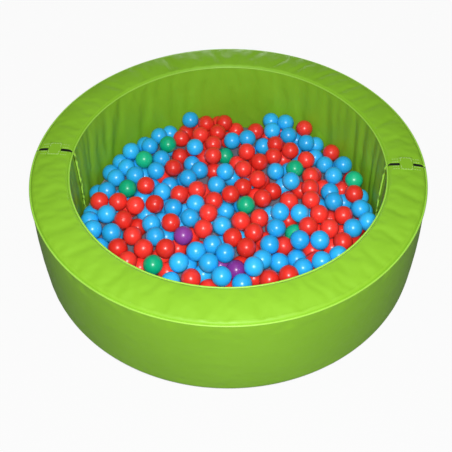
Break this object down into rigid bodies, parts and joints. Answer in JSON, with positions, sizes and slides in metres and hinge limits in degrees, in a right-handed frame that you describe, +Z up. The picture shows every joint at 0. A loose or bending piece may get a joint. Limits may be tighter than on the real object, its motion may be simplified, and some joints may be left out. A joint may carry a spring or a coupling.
{
  "type": "round ball pit",
  "caption": "Round soft-play ball pit: two foam half rings in sewn vinyl covers, hinged by straps over their joints, round a loose padded mat that holds hollow play balls.",
  "frame": {"origin": "on the floor, under the middle of the ring", "axes": "+Z up; the two halves meet along X, the front half lies at -Y and the back half at +Y"},
  "size_m": [1.2, 1.2, 0.3015],
  "materials": {
    "cover_green": "lime-green vinyl leathercloth, soft satin",
    "piping_green": "lime-green vinyl piping, soft satin",
    "foam_white": "open-cell cushion foam, matt",
    "mat_cover_grey": "light grey vinyl leathercloth, matt",
    "zip_black": "black coil zip and slider",
    "ball_red": "moulded plastic, semi-gloss",
    "ball_blue": "moulded plastic, semi-gloss",
    "ball_green": "moulded plastic, semi-gloss",
    "ball_purple": "moulded plastic, semi-gloss"
  },
  "bodies": {
    "front_half": {"front_left_foam_block": "foam_white", "front_middle_foam_block": "foam_white", "front_right_foam_block": "foam_white", "front_rim_panel": "cover_green", "front_outer_wall_panel": "cover_green", "front_inner_wall_panel": "cover_green", "front_base_outer_strip": "cover_green", "front_base_inner_strip": "cover_green", "front_outer_piping": "piping_green", "front_inner_piping": "piping_green", "front_zip": "zip_black", "front_left_end_panel": "cover_green", "front_right_end_panel": "cover_green", "front_left_hinge_leaf": "cover_green", "front_right_hinge_leaf": "cover_green"},
    "back_half": {"back_left_foam_block": "foam_white", "back_middle_foam_block": "foam_white", "back_right_foam_block": "foam_white", "back_rim_panel": "cover_green", "back_outer_wall_panel": "cover_green", "back_inner_wall_panel": "cover_green", "back_base_outer_strip": "cover_green", "back_base_inner_strip": "cover_green", "back_outer_piping": "piping_green", "back_inner_piping": "piping_green", "back_zip": "zip_black", "back_left_end_panel": "cover_green", "back_right_end_panel": "cover_green", "back_left_hinge_leaf": "cover_green", "back_right_hinge_leaf": "cover_green"},
    "front_zip_slider_body": {"front_zip_slider": "zip_black"},
    "back_zip_slider_body": {"back_zip_slider": "zip_black"},
    "mat_and_ball_bed": {"mat_base_cover": "mat_cover_grey", "mat_foam": "foam_white", "mat_top_cover": "mat_cover_grey", "red_balls": "ball_red", "blue_balls": "ball_blue", "green_ball_8": "ball_green", "green_ball_9": "ball_green", "purple_ball_2": "ball_purple", "purple_ball_3": "ball_purple"},
    "loose_red_ball_1": {"red_ball_1": "ball_red"},
    "loose_red_ball_2": {"red_ball_2": "ball_red"},
    "loose_red_ball_3": {"red_ball_3": "ball_red"},
    "loose_red_ball_4": {"red_ball_4": "ball_red"},
    "loose_red_ball_5": {"red_ball_5": "ball_red"},
    "loose_blue_ball_1": {"blue_ball_1": "ball_blue"},
    "loose_green_ball_1": {"green_ball_1": "ball_green"},
    "loose_green_ball_2": {"green_ball_2": "ball_green"},
    "loose_green_ball_3": {"green_ball_3": "ball_green"},
    "loose_green_ball_4": {"green_ball_4": "ball_green"},
    "loose_green_ball_5": {"green_ball_5": "ball_green"},
    "loose_green_ball_6": {"green_ball_6": "ball_green"},
    "loose_green_ball_7": {"green_ball_7": "ball_green"},
    "loose_purple_ball_1": {"purple_ball_1": "ball_purple"}
  },
  "joints": [
    {"name": "rim_fold", "type": "hinge", "parent": "front_half", "child": "back_half", "pos_m": [0, 0, 0.303], "axis": [1, 0, 0], "range_deg": [0, 180]},
    {"name": "mat_lift", "type": "slide", "parent": "front_half", "child": "mat_and_ball_bed", "axis": [0, 0, 1], "range_m": [0, 0.35]},
    {"name": "front_zip_run", "type": "hinge", "parent": "front_half", "child": "front_zip_slider_body", "pos_m": [0, 0, 0], "axis": [0, 0, 1], "range_deg": [0, 134]},
    {"name": "back_zip_run", "type": "hinge", "parent": "back_half", "child": "back_zip_slider_body", "pos_m": [0, 0, 0], "axis": [0, 0, 1], "range_deg": [0, 134]},
    {"name": "red_ball_1_lift", "type": "slide", "parent": "mat_and_ball_bed", "child": "loose_red_ball_1", "axis": [0, 0, 1], "range_m": [0, 0.3]},
    {"name": "red_ball_2_lift", "type": "slide", "parent": "mat_and_ball_bed", "child": "loose_red_ball_2", "axis": [0, 0, 1], "range_m": [0, 0.3]},
    {"name": "red_ball_3_lift", "type": "slide", "parent": "mat_and_ball_bed", "child": "loose_red_ball_3", "axis": [0, 0, 1], "range_m": [0, 0.3]},
    {"name": "red_ball_4_lift", "type": "slide", "parent": "mat_and_ball_bed", "child": "loose_red_ball_4", "axis": [0, 0, 1], "range_m": [0, 0.3]},
    {"name": "red_ball_5_lift", "type": "slide", "parent": "mat_and_ball_bed", "child": "loose_red_ball_5", "axis": [0, 0, 1], "range_m": [0, 0.3]},
    {"name": "blue_ball_1_lift", "type": "slide", "parent": "mat_and_ball_bed", "child": "loose_blue_ball_1", "axis": [0, 0, 1], "range_m": [0, 0.3]},
    {"name": "green_ball_1_lift", "type": "slide", "parent": "mat_and_ball_bed", "child": "loose_green_ball_1", "axis": [0, 0, 1], "range_m": [0, 0.3]},
    {"name": "green_ball_2_lift", "type": "slide", "parent": "mat_and_ball_bed", "child": "loose_green_ball_2", "axis": [0, 0, 1], "range_m": [0, 0.3]},
    {"name": "green_ball_3_lift", "type": "slide", "parent": "mat_and_ball_bed", "child": "loose_green_ball_3", "axis": [0, 0, 1], "range_m": [0, 0.3]},
    {"name": "green_ball_4_lift", "type": "slide", "parent": "mat_and_ball_bed", "child": "loose_green_ball_4", "axis": [0, 0, 1], "range_m": [0, 0.3]},
    {"name": "green_ball_5_lift", "type": "slide", "parent": "mat_and_ball_bed", "child": "loose_green_ball_5", "axis": [0, 0, 1], "range_m": [0, 0.3]},
    {"name": "green_ball_6_lift", "type": "slide", "parent": "mat_and_ball_bed", "child": "loose_green_ball_6", "axis": [0, 0, 1], "range_m": [0, 0.3]},
    {"name": "green_ball_7_lift", "type": "slide", "parent": "mat_and_ball_bed", "child": "loose_green_ball_7", "axis": [0, 0, 1], "range_m": [0, 0.3]},
    {"name": "purple_ball_1_lift", "type": "slide", "parent": "mat_and_ball_bed", "child": "loose_purple_ball_1", "axis": [0, 0, 1], "range_m": [0, 0.3]}
  ]
}
